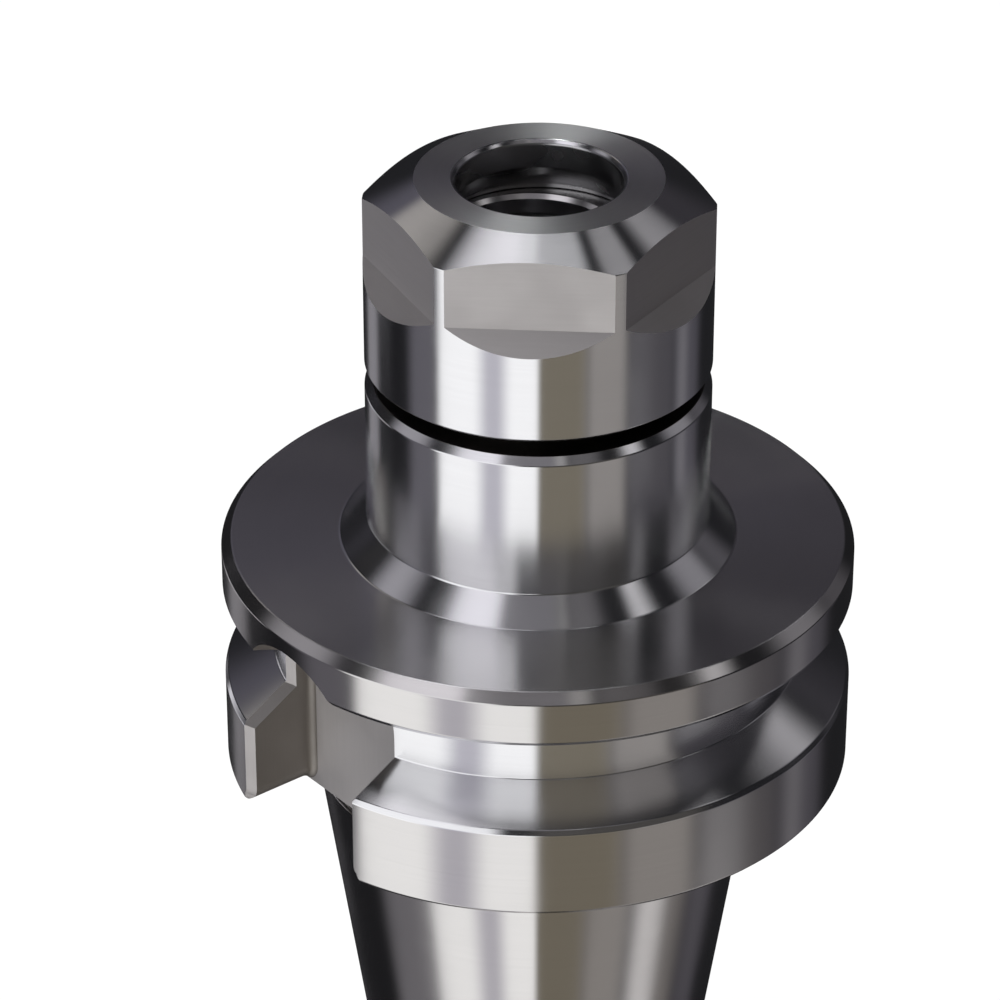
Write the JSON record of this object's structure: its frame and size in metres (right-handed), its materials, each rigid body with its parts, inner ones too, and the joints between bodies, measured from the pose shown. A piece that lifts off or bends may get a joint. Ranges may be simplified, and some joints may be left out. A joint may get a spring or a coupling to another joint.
{
  "type": "collet chuck holder",
  "caption": "Steel tool holder with a steep taper shank, a grooved drive flange and a hexagon nut that closes a spring collet on a tool shank.",
  "frame": {"origin": "on the axis, in the taper's gauge plane", "axes": "+Z along the axis from the taper towards the nut, +X through one drive slot"},
  "size_m": [0.063, 0.063, 0.1311],
  "materials": {
    "ground_steel": "hardened and ground",
    "nut_steel": "turned, flats milled",
    "ring_steel": "turned"
  },
  "bodies": {
    "holder": {"holder_body": "ground_steel"},
    "ring": {"eccentric_ring": "ring_steel"},
    "nut": {"clamping_nut": "nut_steel"}
  },
  "joints": [
    {"name": "nut_travel", "type": "slide", "parent": "holder", "child": "ring", "axis": [0, 0, 1], "range_m": [0, 0.009]},
    {"name": "nut_turn", "type": "hinge", "parent": "ring", "child": "nut", "pos_m": [0, 0, 0.0572], "axis": [0, 0, 1], "range_deg": [0, 2160]}
  ],
  "couplings": [
    {"joint": "nut_travel", "follows": "nut_turn", "m_per_rad": 0.00023873}
  ]
}
